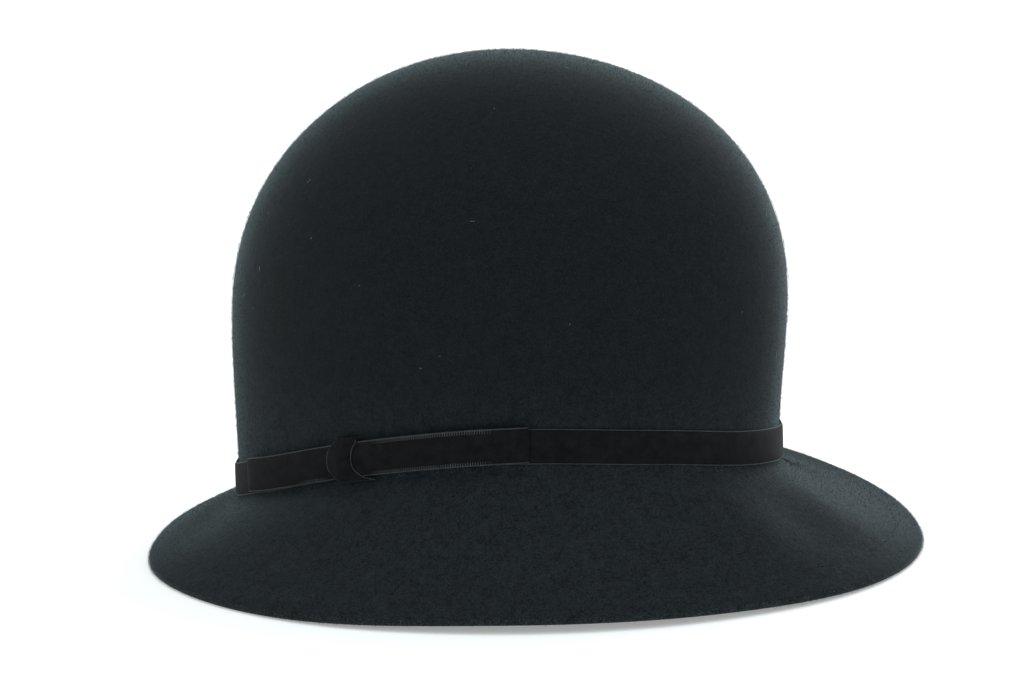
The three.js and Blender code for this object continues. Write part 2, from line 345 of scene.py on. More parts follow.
# Upright cut pile swallows light, so velvet is nearly black, and cloudy where it was pressed.
VELVET = Textile(
    "cut_pile_velvet",
    "0b0c0d",
    "18191b",
    roughness=0.92,
    sheen=0.18,
    sheen_tint="8c9496",
    relief_mm=0.06,
)
# The ribbon's edge is plain weave without pile, so it shows as a paler, smoother line.
SELVEDGE = Textile(
    "woven_selvedge",
    "2c2f32",
    "3e4245",
    roughness=0.7,
    specular=0.25,
    sheen=0.2,
    fine_mm=0.5,
)
# Weft threads turn over the edge in little loops, which catch the most light of the ribbon; their
# paler colour is a painted highlight.
LIT_PICOT = Textile(
    "picot_thread_painted_light",
    "3d4043",
    "55595c",
    roughness=0.7,
    specular=0.25,
    sheen=0.2,
    fine_mm=0.5,
)
# Matt sewing thread in the felt's colour, which barely stands out.
HEM_THREAD = Textile("hem_thread", "1c2225", "282f32", fine_mm=0.6)
# Loose wool on the crown is painted darker than on the brim, following the felt's painted shade, so
# it is little paler than the felt.
SHADED_CROWN_NAP = Textile("crown_nap_painted_shade", "1d2325", "272d2f", sheen=0.25, fine_mm=1.5)
# Loose wool on the softer brim stands freer in the light; it is painted paler than on the crown, as
# painted light.
LIT_BRIM_NAP = Textile("brim_nap_painted_light", "262d30", "31383b", sheen=0.25, fine_mm=1.5)
# Loose wool on the brim's edge has the bright floor behind it; it is painted paler still, as painted
# light.
LIT_EDGE_NAP = Textile("edge_nap_painted_light", "4e585c", "687377", sheen=0.25, fine_mm=1.5)
# Undyed fibres and dust show as pale specks on the dark felt.
LINT = Textile(
    "lint", "868f91", "9aa4a6", roughness=0.8, specular=0.2, sheen=0.3, fine_mm=1.0
)


def show(
    shape: bmesh.types.BMesh,
    name: str,
    slot: Slot,
    material: bpy.types.Material,
    replaces: Sequence[str] = (),
) -> bpy.types.Object:
    """Shows a shape as a piece that rides on the hat.

    Args:
        shape: the piece's shape, which is used up.
        name: the piece's name.
        slot: the material slot meant for its finish; not used.
        material: its finish.
        replaces: CAD nodes that it stands for.

    Returns:
        The new object.
    """
    mesh = bpy.data.meshes.new(name)
    shape.to_mesh(mesh)
    shape.free()
    mesh.materials.append(material)
    mesh.shade_smooth()
    shown = bpy.data.objects.new(name, mesh)
    bpy.context.scene.collection.objects.link(shown)
    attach(shown, ROOT)
    if replaces:
        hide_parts(*replaces)
    LOG.info("%s: %d faces", name, len(mesh.polygons))
    return shown


def close_up(shape: bmesh.types.BMesh) -> None:
    """Joins a shape's seams, closes its open ends and turns its faces outwards.

    Args:
        shape: the shape, which is changed.
    """
    bmesh.ops.remove_doubles(shape, verts=shape.verts, dist=SAME_POINT)
    bmesh.ops.holes_fill(shape, edges=shape.edges)
    bmesh.ops.recalc_face_normals(shape, faces=shape.faces)


def bend_grid(
    shape: bmesh.types.BMesh, rows: int, columns: int, at: Callable[[int, int], Vector]
) -> None:
    """Adds a flat grid and moves each of its corners to where a rule puts it.

    Args:
        shape: takes the grid.
        rows: faces along it.
        columns: faces across it.
        at: gives a corner's place by its row and column.
    """
    flat = bmesh.ops.create_grid(shape, x_segments=rows, y_segments=columns, size=1)
    for corner in flat["verts"]:
        row = round((corner.co.x + 1) / 2 * rows)
        column = round((corner.co.y + 1) / 2 * columns)
        corner.co = at(row, column)


def add_thread(
    shape: bmesh.types.BMesh,
    line: Sequence[Vector],
    radius: float,
    sides: int,
    closed: bool = False,
) -> None:
    """Adds a round thread along a line.

    Args:
        shape: takes the thread.
        line: the thread's middle line.
        radius: half its thickness.
        sides: facets round it.
        closed: whether the end joins the start.
    """
    count = len(line)
    rings: list[list[Vector]] = []
    for i, here in enumerate(line):
        before = line[i - 1] if closed or i else here
        after = line[(i + 1) % count] if closed or i < count - 1 else here
        along = (after - before).normalized()
        side = along.cross(UP)
        side = side.normalized() if side.length > LEAST_SIDE else Vector((1, 0, 0))
        up = side.cross(along)
        turns = [2 * math.pi * k / sides for k in range(sides)]
        rings.append([here + (side * math.cos(t) + up * math.sin(t)) * radius for t in turns])
    rows = count if closed else count - 1
    bend_grid(shape, rows, sides, lambda row, column: rings[row % count][column % sides])


def merged_copy(node: str) -> bmesh.types.BMesh:
    """Copies a CAD node's shape and joins its split corners.

    Args:
        node: the node's name.

    Returns:
        The copy.
    """
    shape = bmesh.new()
    shape.from_mesh(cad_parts[node].data)
    bmesh.ops.remove_doubles(shape, verts=shape.verts, dist=SAME_POINT)
    return shape


def tree_of(node: str) -> BVHTree:
    """A search tree over a CAD node's faces.

    Args:
        node: the node's name.

    Returns:
        The tree.
    """
    shape = merged_copy(node)
    tree = BVHTree.FromBMesh(shape)
    shape.free()
    return tree


def smooth_path(values: Sequence[Vector], place: float, closed: bool) -> Vector:
    """Finds a point on the smooth line through evenly numbered points.

    Args:
        values: the points.
        place: how far along, counted in points.
        closed: whether the line joins up.

    Returns:
        The point at that place.
    """
    count = len(values)
    first = min(int(math.floor(place)), count - 1 if closed else count - 2)
    t = place - first
    near = [i % count if closed else min(max(i, 0), count - 1) for i in range(first - 1, first + 3)]
    a, b, c, d = (values[i] for i in near)
    return b + 0.5 * t * (c - a + t * (2 * a - 5 * b + 4 * c - d + t * (3 * (b - c) + d - a)))


@dataclass
class RibbonPath:
    """The corners of a ribbon node's sections, in order round the crown.

    Attributes:
        inner: lower corners against the felt.
        outer: lower corners away from the felt.
        top: upper corners against the felt.
        closed: whether the ribbon joins up.
    """

    inner: list[Vector]
    outer: list[Vector]
    top: list[Vector]
    closed: bool

    @classmethod
    def read(cls, node: str, middle: Vector, closed: bool) -> "RibbonPath":
        """Finds the sections of a CAD ribbon node.

        Args:
            node: the node's name.
            middle: a point on the crown's upright axis.
            closed: whether the ribbon joins up.

        Returns:
            The ribbon's path, from the wearer's right round by the front to the left.
        """
        gap = math.radians(1.2)
        level = 0.1 * MM
        shape = merged_copy(node)
        polar = [
            (math.atan2(v.co.x - middle.x, middle.y - v.co.y), v.co.copy()) for v in shape.verts
        ]
        shape.free()
        polar.sort(key=lambda pair: pair[0])
        groups: list[list[Vector]] = [[polar[0][1]]]
        for (before, _), (turn, point) in zip(polar, polar[1:]):
            if turn - before > gap:
                groups.append([])
            groups[-1].append(point)
        if closed and polar[0][0] + 2 * math.pi - polar[-1][0] < gap:
            groups[0] = groups.pop() + groups[0]
        path = cls([], [], [], closed)
        for group in groups:
            low = min(p.z for p in group)
            high = max(p.z for p in group)
            group.sort(key=lambda p: (p - middle).xy.length)
            feet = [p for p in group if p.z < low + level]
            path.inner.append(feet[0])
            path.outer.append(feet[-1])
            path.top.append(next(p for p in group if p.z > high - level))
        return path

    def lengthen(self, at_first: bool, length: float) -> None:
        """Adds a section straight on from one end.

        Args:
            at_first: whether it goes before the first section, and not after the last.
            length: how far on it is.
        """
        for corners in (self.inner, self.outer, self.top):
            end, inside = (corners[0], corners[1]) if at_first else (corners[-1], corners[-2])
            extra = end + (end - inside).normalized() * length
            corners.insert(0 if at_first else len(corners), extra)

    def lengths(self) -> list[float]:
        """Measures the lower inner corner.

        Returns:
            Its length up to each section, and the whole length if it joins up.
        """
        total = [0.0]
        count = len(self.inner)
        for i in range(count if self.closed else count - 1):
            total.append(total[-1] + (self.inner[(i + 1) % count] - self.inner[i]).length)
        return total

    def at(self, place: float) -> tuple[Vector, Vector, float]:
        """Reads the path at a place.

        Args:
            place: how far along, counted in sections.

        Returns:
            The lower inner corner, the direction away from the felt, and the ribbon's width.
        """
        foot = smooth_path(self.inner, place, self.closed)
        front = smooth_path(self.outer, place, self.closed)
        head = smooth_path(self.top, place, self.closed)
        return foot, (front - foot).normalized(), (head - foot).length

    def places(self, step: float) -> list[float]:
        """Finds places about a step apart.

        Args:
            step: the length wanted between them.

        Returns:
            The places, counted in sections, with both ends if the ribbon doesn't join up.
        """
        total = self.lengths()
        count = max(int(round(total[-1] / step)), 2)
        wanted = [total[-1] * i / count for i in range(count if self.closed else count + 1)]
        found: list[float] = []
        section = 0
        for length in wanted:
            while section < len(total) - 2 and total[section + 1] < length:
                section += 1
            share = (length - total[section]) / (total[section + 1] - total[section])
            found.append(section + share)
        return found


@dataclass(frozen=True)
class Station:
    """A place along a ribbon's strip.

    Attributes:
        foot: middle of the strip's thickness at its lower edge.
        pile: direction that the pile faces.
        width: from edge to edge.
        thick: from the back to the top of the pile.
    """

    foot: Vector
    pile: Vector
    width: float
    thick: float

    def point(self, above: float, depth: float) -> Vector:
        """Point by its height above the lower edge and its share of the thickness."""
        return self.foot + self.pile * (self.thick * (depth - 0.5)) + UP * above


@dataclass(frozen=True)
class RibbonMake:
    """How one velvet ribbon is made up.

    Attributes:
        thickness_mm: of all its layers together.
        fold: the end where it is folded back on itself.
        fold_mm: thickness there, where it is pressed flat.
        picots: shares of the length from the knot between which the edge shows its teeth.
        picot_edges: the edges that show them.
    """

    thickness_mm: float
    fold: Fold = Fold.NONE
    fold_mm: float = 0.0
    picots: tuple[float, float] = (0.0, 0.0)
    picot_edges: tuple[Edge, ...] = ()


@dataclass
class VelvetRibbon:
    """A velvet ribbon with its selvedges: one strip, or a strip folded into a flat loop.

    Attributes:
        step_mm: length of a facet.
        selvedge_mm: width of the woven edge without pile.
        cord_mm: half the thickness of the edge's thread.
        cord_depth: where that thread lies, as a share of the ribbon's thickness.
        picot_mm: half the thickness of a picot.
        picot_fade: share of the length over which the row of picots begins and ends.
        picot_least: thinnest picot, as a share of a full one.
        taper_sections: length over which a folded ribbon thickens from its fold, in sections.
        air: share of each layer's thickness that is left free between the two.
        tooth: a picot's points as shares of the thickness and millimetres past the edge.
    """

    node: str
    path: RibbonPath
    make_up: RibbonMake
    velvet: bpy.types.Material
    cord: bpy.types.Material
    picot: bpy.types.Material
    step_mm: float = 1.2
    selvedge_mm: float = 0.42
    cord_mm: float = 0.16
    cord_depth: float = 0.6
    cord_sides: int = 5
    picot_mm: float = 0.12
    picot_sides: int = 4
    picot_pitch_mm: float = 0.78
    picot_fade: float = 0.12
    picot_least: float = 0.2
    taper_sections: float = 2.4
    air: float = 0.04
    fold_steps: int = 6
    tooth: tuple[tuple[float, float], ...] = (
        (0.1, 0.15),
        (0.44, 0.36),
        (0.72, 0.12),
        (0.94, -0.42),
        (1.08, -0.95),
    )

    def station(self, place: float, leaf: Leaf) -> Station:
        """Reads the strip at a place.

        Args:
            place: how far along the path, counted in sections.
            leaf: which layer.

        Returns:
            The station.
        """
        foot, out, width = self.path.at(place)
        whole = self.make_up.thickness_mm * MM
        if leaf is Leaf.SINGLE:
            return Station(foot + out * (whole / 2), out, width, whole)
        last = len(self.path.inner) - 1
        apart = place if self.make_up.fold is Fold.FIRST else last - place
        share = min(max(apart / self.taper_sections, 0.0), 1.0)
        flat = self.make_up.fold_mm * MM
        layer = (flat + (whole - flat) * math.sqrt(share * (2 - share))) / 2
        off, pile = (layer / 2, -out) if leaf is Leaf.BACK else (layer * 1.5, out)
        return Station(foot + out * off, pile, width, layer * (1 - self.air))

    def stations(self) -> list[Station]:
        """Follows the whole strip, from the knot out and back again if it is folded.

        Returns:
            The strip's stations in order.
        """
        places = self.path.places(self.step_mm * MM)
        if self.make_up.fold is Fold.NONE:
            return [self.station(place, Leaf.SINGLE) for place in places]
        if self.make_up.fold is Fold.FIRST:
            places.reverse()
        back = [self.station(place, Leaf.BACK) for place in places]
        front = [self.station(place, Leaf.FRONT) for place in reversed(places)]
        out = front[0].pile
        ahead = (back[-1].foot - back[-2].foot).xy.normalized().to_3d()
        middle = (back[-1].foot + front[0].foot) / 2
        radius = (front[0].foot - back[-1].foot).length / 2
        bend: list[Station] = []
        for k in range(1, self.fold_steps):
            turn = math.pi * k / self.fold_steps
            pile = ahead * math.sin(turn) - out * math.cos(turn)
            bend.append(Station(middle + pile * radius, pile, front[0].width, front[0].thick))
        return back + bend + front

    def profile(self, width: float) -> list[tuple[float, float]]:
        """Draws the strip's section.

        Args:
            width: from edge to edge.

        Returns:
            Its corners as heights above the lower edge and shares of the thickness.
        """
        edge = self.selvedge_mm * MM
        lower = [
            (0.0, 0.0),
            (0.0, 0.1),
            (0.0, 0.62),
            (0.7 * edge, 0.66),
            (edge, 0.86),
            (1.5 * edge, 1.0),
            (0.3 * width, 1.04),
        ]
        return lower + [(width - above, depth) for above, depth in reversed(lower)]

    def body(self, stations: Sequence[Station]) -> bpy.types.Object:
        """Makes the velvet.

        Args:
            stations: the strip's stations.

        Returns:
            The velvet, which stands for the CAD node.
        """
        rings = [[at.point(*corner) for corner in self.profile(at.width)] for at in stations]
        rows = len(rings) if self.path.closed else len(rings) - 1
        columns = len(rings[0])
        shape = bmesh.new()
        bend_grid(shape, rows, columns, lambda i, k: rings[i % len(rings)][k % columns])
        close_up(shape)
        return show(shape, f"{self.node}_velvet", Slot.VELVET, self.velvet, [self.node])

    def selvedges(self, stations: Sequence[Station]) -> bpy.types.Object:
        """Makes the woven edges.

        Args:
            stations: the strip's stations.

        Returns:
            Both edges.
        """
        shape = bmesh.new()
        for edge in Edge:
            upper = edge is Edge.UPPER
            line = [at.point(at.width if upper else 0.0, self.cord_depth) for at in stations]
            add_thread(shape, line, self.cord_mm * MM, self.cord_sides, self.path.closed)
        close_up(shape)
        return show(shape, f"{self.node}_selvedge", Slot.VELVET, self.cord)

    def picots(self) -> bpy.types.Object:
        """Makes the little threads across the edges of the front layer.

        Returns:
            All of them, thinner towards both ends of the row.
        """
        low, high = self.make_up.picots
        places = self.path.places(self.picot_pitch_mm * MM)
        if self.make_up.fold is Fold.FIRST:
            places.reverse()
        shape = bmesh.new()
        for number, place in enumerate(places):
            share = number / (len(places) - 1)
            fade = min((share - low) / self.picot_fade, (high - share) / self.picot_fade, 1.0)
            if fade <= self.picot_least:
                continue
            at = self.station(place, Leaf.FRONT)
            for edge in self.make_up.picot_edges:
                if edge is Edge.UPPER:
                    line = [at.point(at.width + reach * MM, depth) for depth, reach in self.tooth]
                else:
                    line = [at.point(-reach * MM, depth) for depth, reach in self.tooth]
                add_thread(shape, line, self.picot_mm * MM * fade, self.picot_sides)
        close_up(shape)
        return show(shape, f"{self.node}_picots", Slot.VELVET, self.picot)

    def make(self) -> None:
        """Makes the ribbon."""
        stations = self.stations()
        velvet = self.body(stations)
        edges = [self.selvedges(stations)]
        if self.make_up.picot_edges:
            edges.append(self.picots())
        single = self.make_up.fold is Fold.NONE
        length = self.path.lengths()[-1] * (1 if single else 2)


@dataclass(frozen=True)
class KnotRow:
    """One row across the knot, in millimetres from the middle of the ribbon's lower edge.

    Attributes:
        rear: along the ribbon to the knot's rear side, below 0.
        rear_up: height of that side.
        front: along the ribbon to the knot's front side.
        front_up: height of that side.
        swell: how far the row stands out, as a share of the knot's dome.
    """

    rear: float
    rear_up: float
    front: float
    front_up: float
    swell: float


@dataclass
class BowKnot:
    """The velvet loop pulled tight round the bow's waist.

    Attributes:
        rows: the knot's outline, from above to below.
        side_mm: how far its sides stand off the felt.
        dome_mm: how much further its middle does.
        back_mm: how far its ends stand off the felt.
        crease_mm: height of its creases.
        crease_waves: how fast they run across the knot and down its swell.
        turned_in: how far off the felt its hidden back lies, as a share of back_mm.
        rear_rows: rows between which the rear selvedge shows.
        front_rows: rows between which the front selvedge shows.
        cut_mm: width and length of the strip that it was cut from; not used.
        place: where the knot's middle is on the band, in sections.
        per_mm: sections for one millimetre there.
    """

    node: str
    band: RibbonPath
    velvet: bpy.types.Material
    cord: bpy.types.Material
    rows: tuple[KnotRow, ...] = (
        KnotRow(-0.4, 12.0, 6.0, 11.8, 0.0),
        KnotRow(-0.7, 12.6, 6.9, 12.0, 0.4),
        KnotRow(-1.2, 11.6, 7.4, 10.7, 0.8),
        KnotRow(-3.0, 9.4, 6.2, 8.6, 1.0),
        KnotRow(-3.9, 6.8, 5.6, 6.0, 1.0),
        KnotRow(-3.7, 4.2, 6.1, 3.3, 1.0),
        KnotRow(-3.1, 2.6, 7.6, 1.3, 0.95),
        KnotRow(-1.6, 0.4, 10.6, -0.6, 0.8),
        KnotRow(0.4, -1.2, 13.2, -1.4, 0.5),
        KnotRow(1.4, -1.8, 13.8, -1.7, 0.0),
    )
    side_mm: float = 3.6
    dome_mm: float = 1.3
    back_mm: float = 1.6
    crease_mm: float = 0.16
    crease_waves: tuple[float, float] = (9.0, 2.2)
    turned_in: float = 0.9
    columns: int = 14
    steps: int = 5
    cord_steps: int = 20
    cord_mm: float = 0.15
    cord_off_mm: float = 0.05
    cord_sides: int = 6
    rear_rows: tuple[float, float] = (3.2, 6.2)
    front_rows: tuple[float, float] = (1.6, 8.4)
    cut_mm: tuple[float, float] = (10.4, 20.0)
    place: float = field(init=False)
    per_mm: float = field(init=False)

    def __post_init__(self) -> None:
        """Finds the knot's place on the ribbon from its CAD node."""
        low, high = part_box(self.node)
        centre = (Vector(low) + Vector(high)) / 2
        count = len(self.band.inner)
        fine = 20
        near = min(
            range(count * fine),
            key=lambda i: (self.band.at(i / fine)[0] - centre).xy.length,
        )
        self.place = near / fine
        here, after = int(self.place), (int(self.place) + 1) % count
        self.per_mm = MM / (self.band.inner[after] - self.band.inner[here]).xy.length

    def point(self, along: float, above: float, off: float) -> Vector:
        """Point by millimetres along the ribbon, above its lower edge and off the felt."""
        foot, out, _ = self.band.at(self.place + along * self.per_mm)
        return foot + out * (off * MM) + UP * (above * MM)

    def row(self, place: float) -> tuple[Vector, Vector, float]:
        """Reads the knot's outline.

        Args:
            place: how far down the knot, counted in rows.

        Returns:
            Its rear and its front side as (along, above, 0), and its swell.
        """
        rear = smooth_path([Vector((r.rear, r.rear_up, r.swell)) for r in self.rows], place, False)
        front = smooth_path([Vector((r.front, r.front_up, 0)) for r in self.rows], place, False)
        return rear, front, min(max(rear.z, 0.0), 1.0)

    def off(self, across: float, swell: float) -> float:
        """Finds how far the velvet stands off the felt.

        Args:
            across: share of the way from the rear to the front side.
            swell: share of the knot's dome.

        Returns:
            The distance in millimetres.
        """
        dome = self.dome_mm * math.sqrt(max(1 - (2 * across - 1) ** 2, 0))
        along, down = self.crease_waves
        crease = self.crease_mm * math.sin(along * across + down * swell) * swell
        return self.back_mm + (self.side_mm - self.back_mm + dome + crease) * swell

    def body(self) -> bpy.types.Object:
        """Makes the knot's velvet, with its sides turned in.

        Returns:
            The velvet, which stands for the CAD node.
        """
        rings: list[list[Vector]] = []
        spread = [k / self.columns for k in range(self.columns + 1)]
        for i in range(self.steps * (len(self.rows) - 1) + 1):
            rear, front, swell = self.row(i / self.steps)
            shown = [(across, self.off(across, swell)) for across in spread]
            hidden = [
                (across, self.off(across, 0.0) * self.turned_in) for across in (1.0, 0.5, 0.0)
            ]
            ring = []
            for across, off in shown + hidden:
                flat = rear.lerp(front, across)
                ring.append(self.point(flat.x, flat.y, off))
            rings.append(ring)
        size = len(rings[0])
        shape = bmesh.new()
        bend_grid(shape, len(rings) - 1, size, lambda i, k: rings[i][k % size])
        close_up(shape)
        return show(shape, f"{self.node}_velvet", Slot.VELVET, self.velvet, [self.node])

    def selvedges(self) -> bpy.types.Object:
        """Makes the loop's woven edges.

        Returns:
            Both edges, where they show.
        """
        shape = bmesh.new()
        for across, (top, bottom) in ((0.0, self.rear_rows), (1.0, self.front_rows)):
            line: list[Vector] = []
            for i in range(int(self.cord_steps * (bottom - top)) + 1):
                rear, front, swell = self.row(top + i / self.cord_steps)
                side = front if across else rear
                off = self.off(across, swell) + self.cord_off_mm
                line.append(self.point(side.x, side.y, off))
            add_thread(shape, line, self.cord_mm * MM, self.cord_sides)
        close_up(shape)
        return show(shape, f"{self.node}_selvedge", Slot.VELVET, self.cord)

    def make(self) -> None:
        """Makes the knot."""
        velvet = self.body()
        edges = self.selvedges()


@dataclass
class FeltBody:
    """The hat's felt: one blocked hood with its edge turned under.

    Attributes:
        face_angle: most that two triangles may be bent where they join as a quad, in radians.
        shape_angle: most that such a quad may depart from a rectangle, in radians.
        rounding: levels of subdivision.
        search_mm: step of the search for the brim's edge.
        widest: where that search starts, out from the crown's axis.
        above: height from which the felt is looked at.
    """

    node: str
    middle: Vector
    felt: bpy.types.Material
    face_angle: float = 0.9
    shape_angle: float = 3.1
    rounding: int = 2
    search_mm: float = 0.25
    widest: float = 0.16
    above: float = 0.3
    tree: BVHTree = field(init=False)

    def __post_init__(self) -> None:
        """Prepares the search over the felt's faces."""
        self.tree = tree_of(self.node)

    def body(self) -> bpy.types.Object:
        """Makes the felt.

        Returns:
            The CAD felt, rounded between its facets.
        """
        shape = merged_copy(self.node)
        bmesh.ops.join_triangles(
            shape,
            faces=shape.faces,
            angle_face_threshold=self.face_angle,
            angle_shape_threshold=self.shape_angle,
        )
        shown = show(shape, "felt_surface", Slot.FELT, self.felt, [self.node])
        rounding = shown.modifiers.new("rounding", "SUBSURF")
        rounding.levels = self.rounding
        rounding.render_levels = self.rounding
        return shown

    def on_top(self, turn: float, reach: float) -> Vector | None:
        """Point on top of the hat at an angle round the crown's axis and a distance from it."""
        start = self.middle + Vector((math.sin(turn) * reach, -math.cos(turn) * reach, self.above))
        return self.tree.ray_cast(start, -UP)[0]

    def hem_point(self, turn: float, depth: float) -> Vector:
        """Finds a point on the brim's upper side.

        Args:
            turn: angle round the crown's axis, from the front.
            depth: distance in from the brim's edge, over the felt.

        Returns:
            The point.
        """
        step = self.search_mm * MM
        reach = self.widest
        while self.on_top(turn, reach) is None:
            reach -= step
        here = self.on_top(turn, reach)
        gone = 0.0
        while gone < depth:
            reach -= step
            there = self.on_top(turn, reach)
            gone += (there - here).length
            here = there
        return here


@dataclass
class HemStitches:
    """The running stitch that holds the turned edge, sunk into the felt.

    Attributes:
        depth_mm: distance in from the brim's edge.
        pitch_mm: from one stitch to the next.
        place_spread: how uneven the pitch is, as a share of it.
        stitch_mm: length of a stitch.
        length_spread: shortest and longest stitch, as shares of that length.
        thread_mm: half the thread's thickness.
        sunk_mm: how deep a stitch's middle lies, and how much deeper its ends do.
        half_points: points from a stitch's middle to its end.
        samples: places at which the line round the brim is measured.
    """

    felt: FeltBody
    thread: bpy.types.Material
    depth_mm: float = 9.7
    pitch_mm: float = 5.0
    place_spread: float = 0.05
    stitch_mm: float = 3.1
    length_spread: tuple[float, float] = (0.85, 1.12)
    thread_mm: float = 0.14
    thread_sides: int = 5
    sunk_mm: tuple[float, float] = (0.17, 0.2)
    half_points: int = 2
    samples: int = 240

    def make(self) -> bpy.types.Object:
        """Makes all stitches round the brim.

        Returns:
            The stitches.
        """
        turns = [2 * math.pi * i / self.samples for i in range(self.samples)]
        line = [self.felt.hem_point(turn, self.depth_mm * MM) for turn in turns]
        line.append(line[0])
        lengths = [0.0]
        for a, b in zip(line, line[1:]):
            lengths.append(lengths[-1] + (b - a).length)
        chance = random.Random(SEED)
        middle, ends = self.sunk_mm
        shape = bmesh.new()
        for i in range(int(lengths[-1] / (self.pitch_mm * MM))):
            start = (i + chance.uniform(-self.place_spread, self.place_spread)) * self.pitch_mm * MM
            length = self.stitch_mm * MM * chance.uniform(*self.length_spread)
            thread: list[Vector] = []
            for k in range(2 * self.half_points + 1):
                reach = start + length * k / (2 * self.half_points)
                spot = self.along(line, lengths, reach % lengths[-1])
                sunk = middle + ends * (abs(k - self.half_points) / self.half_points) ** 2
                thread.append(spot + UP * ((self.thread_mm - sunk) * MM))
            add_thread(shape, thread, self.thread_mm * MM, self.thread_sides)
        close_up(shape)
        return show(shape, "hem_stitches", Slot.FELT, self.thread)

    @staticmethod
    def along(line: Sequence[Vector], lengths: Sequence[float], wanted: float) -> Vector:
        """Finds a point on a line.

        Args:
            line: the line's points.
            lengths: the line's length up to each point.
            wanted: the length up to the point sought.

        Returns:
            The point.
        """
        i = next(n for n, total in enumerate(lengths[1:]) if total >= wanted)
        share = (wanted - lengths[i]) / (lengths[i + 1] - lengths[i])
        return line[i].lerp(line[i + 1], share)


@dataclass(frozen=True)
class Fibre:
    """A kind of loose fibre, with the least and most of each size.

    Attributes:
        length_mm: its length.
        width_mm: its thickness, drawn wider than real wool so that it shows.
        rise: how steeply it stands, 0 for flat.
        bent: whether it has a knee.
    """

    length_mm: tuple[float, float]
    width_mm: tuple[float, float]
    rise: tuple[float, float]
    bent: bool


LYING = Fibre((0.8, 1.9), (0.05, 0.09), (0.1, 0.3), True)
STANDING = Fibre((0.6, 1.3), (0.04, 0.08), (0.5, 1.8), True)
FUZZ = Fibre((0.4, 0.9), (0.05, 0.08), (0.8, 3.0), False)


@dataclass
class Nap:
    """Short loose fibres that lie on the felt or stand up from it.

    Attributes:
        trims: what the fibres keep clear of.
        clear_mm: how far they keep clear.
        root_mm: how deep a fibre starts in the felt.
        floor_mm: lowest height that a fibre reaches.
        lowest_normal: least upward share of the normal of a face that gets fibres.
        off_face_mm: how far off a face the look outwards starts.
        knee_bend: least and most that a fibre rises after its knee, as shares of its rise.
        knee_width: width at the knee, as a share of that at the root.
    """

    felt: FeltBody
    trims: Sequence[BVHTree]
    clear_mm: float = 0.6
    root_mm: float = 0.05
    floor_mm: float = 0.1
    lowest_normal: float = -0.8
    off_face_mm: float = 0.3
    knee_bend: tuple[float, float] = (-0.3, 1.1)
    knee_width: float = 0.8
    chance: random.Random = field(default_factory=lambda: random.Random(SEED))

    def outer_faces(self) -> list[tuple[float, list[Vector], Vector]]:
        """Finds the felt's outer faces.

        Returns:
            Area, corners and normal of each triangle.
        """
        shape = merged_copy(self.felt.node)
        bmesh.ops.triangulate(shape, faces=shape.faces)
        shape.normal_update()
        found = []
        for face in shape.faces:
            outside = face.calc_center_median() + face.normal * self.off_face_mm * MM
            hidden = self.felt.tree.ray_cast(outside, face.normal)[0] is not None
            if face.normal.z >= self.lowest_normal and not hidden:
                corners = [v.co.copy() for v in face.verts]
                found.append((face.calc_area(), corners, face.normal.copy()))
        shape.free()
        return found

    def blade(self, root: Vector, normal: Vector, fibre: Fibre) -> list[Vector]:
        """Draws one fibre.

        Args:
            root: where it leaves the felt.
            normal: the felt's normal there.
            fibre: its kind.

        Returns:
            Three corners of a straight fibre, or five of a bent one.
        """
        turn = self.chance.uniform(0, 2 * math.pi)
        side = normal.orthogonal().normalized()
        lean = side * math.cos(turn) + normal.cross(side) * math.sin(turn)
        across = normal.cross(lean) * (self.chance.uniform(*fibre.width_mm) * MM / 2)
        rise = self.chance.uniform(*fibre.rise)
        half = self.chance.uniform(*fibre.length_mm) * MM / 2
        knee = root + (normal * rise + lean).normalized() * half
        bend = self.chance.uniform(*self.knee_bend) if fibre.bent else 1.0
        tip = knee + (normal * rise * bend + lean).normalized() * half
        start = root - normal * self.root_mm * MM
        if not fibre.bent:
            return [start - across, start + across, tip]
        narrow = across * self.knee_width
        return [start - across, start + across, knee + narrow, knee - narrow, tip]

    def make(
        self,
        name: str,
        count: int,
        kinds: Sequence[Fibre],
        material: bpy.types.Material,
        wanted: Callable[[Vector, Vector], bool],
    ) -> bpy.types.Object:
        """Spreads fibres over the part of the felt that is wanted.

        Args:
            name: the piece's name.
            count: fibres tried.
            kinds: the kinds of fibre to choose from.
            material: their finish.
            wanted: says by its middle and normal whether a face gets fibres.

        Returns:
            The piece.
        """
        faces = [f for f in self.outer_faces() if wanted(sum(f[1], Vector((0, 0, 0))) / 3, f[2])]
        total = sum(face[0] for face in faces)
        points: list[Vector] = []
        blades: list[tuple[int, ...]] = []
        for area, (a, b, c), normal in faces:
            share = count * area / total
            for _ in range(int(share) + (self.chance.random() < share % 1)):
                u, v = self.chance.random(), self.chance.random()
                if u + v > 1:
                    u, v = 1 - u, 1 - v
                root = a + (b - a) * u + (c - a) * v
                corners = self.blade(root, normal, self.chance.choice(kinds))
                trimmed = any(
                    trim.find_nearest(root, self.clear_mm * MM)[0] is not None
                    for trim in self.trims
                )
                if trimmed or min(corner.z for corner in corners[2:]) < self.floor_mm * MM:
                    continue
                base = len(points)
                points.extend(corners)
                if len(corners) == 3:
                    blades.append((base, base + 1, base + 2))
                else:
                    blades.append((base, base + 1, base + 2, base + 3))
                    blades.append((base + 3, base + 2, base + 4))
        loose = bpy.data.meshes.new("fibres")
        loose.from_pydata(points, [], blades)
        shape = bmesh.new()
        shape.from_mesh(loose)
        bpy.data.meshes.remove(loose)
        return show(shape, name, Slot.FELT, material)


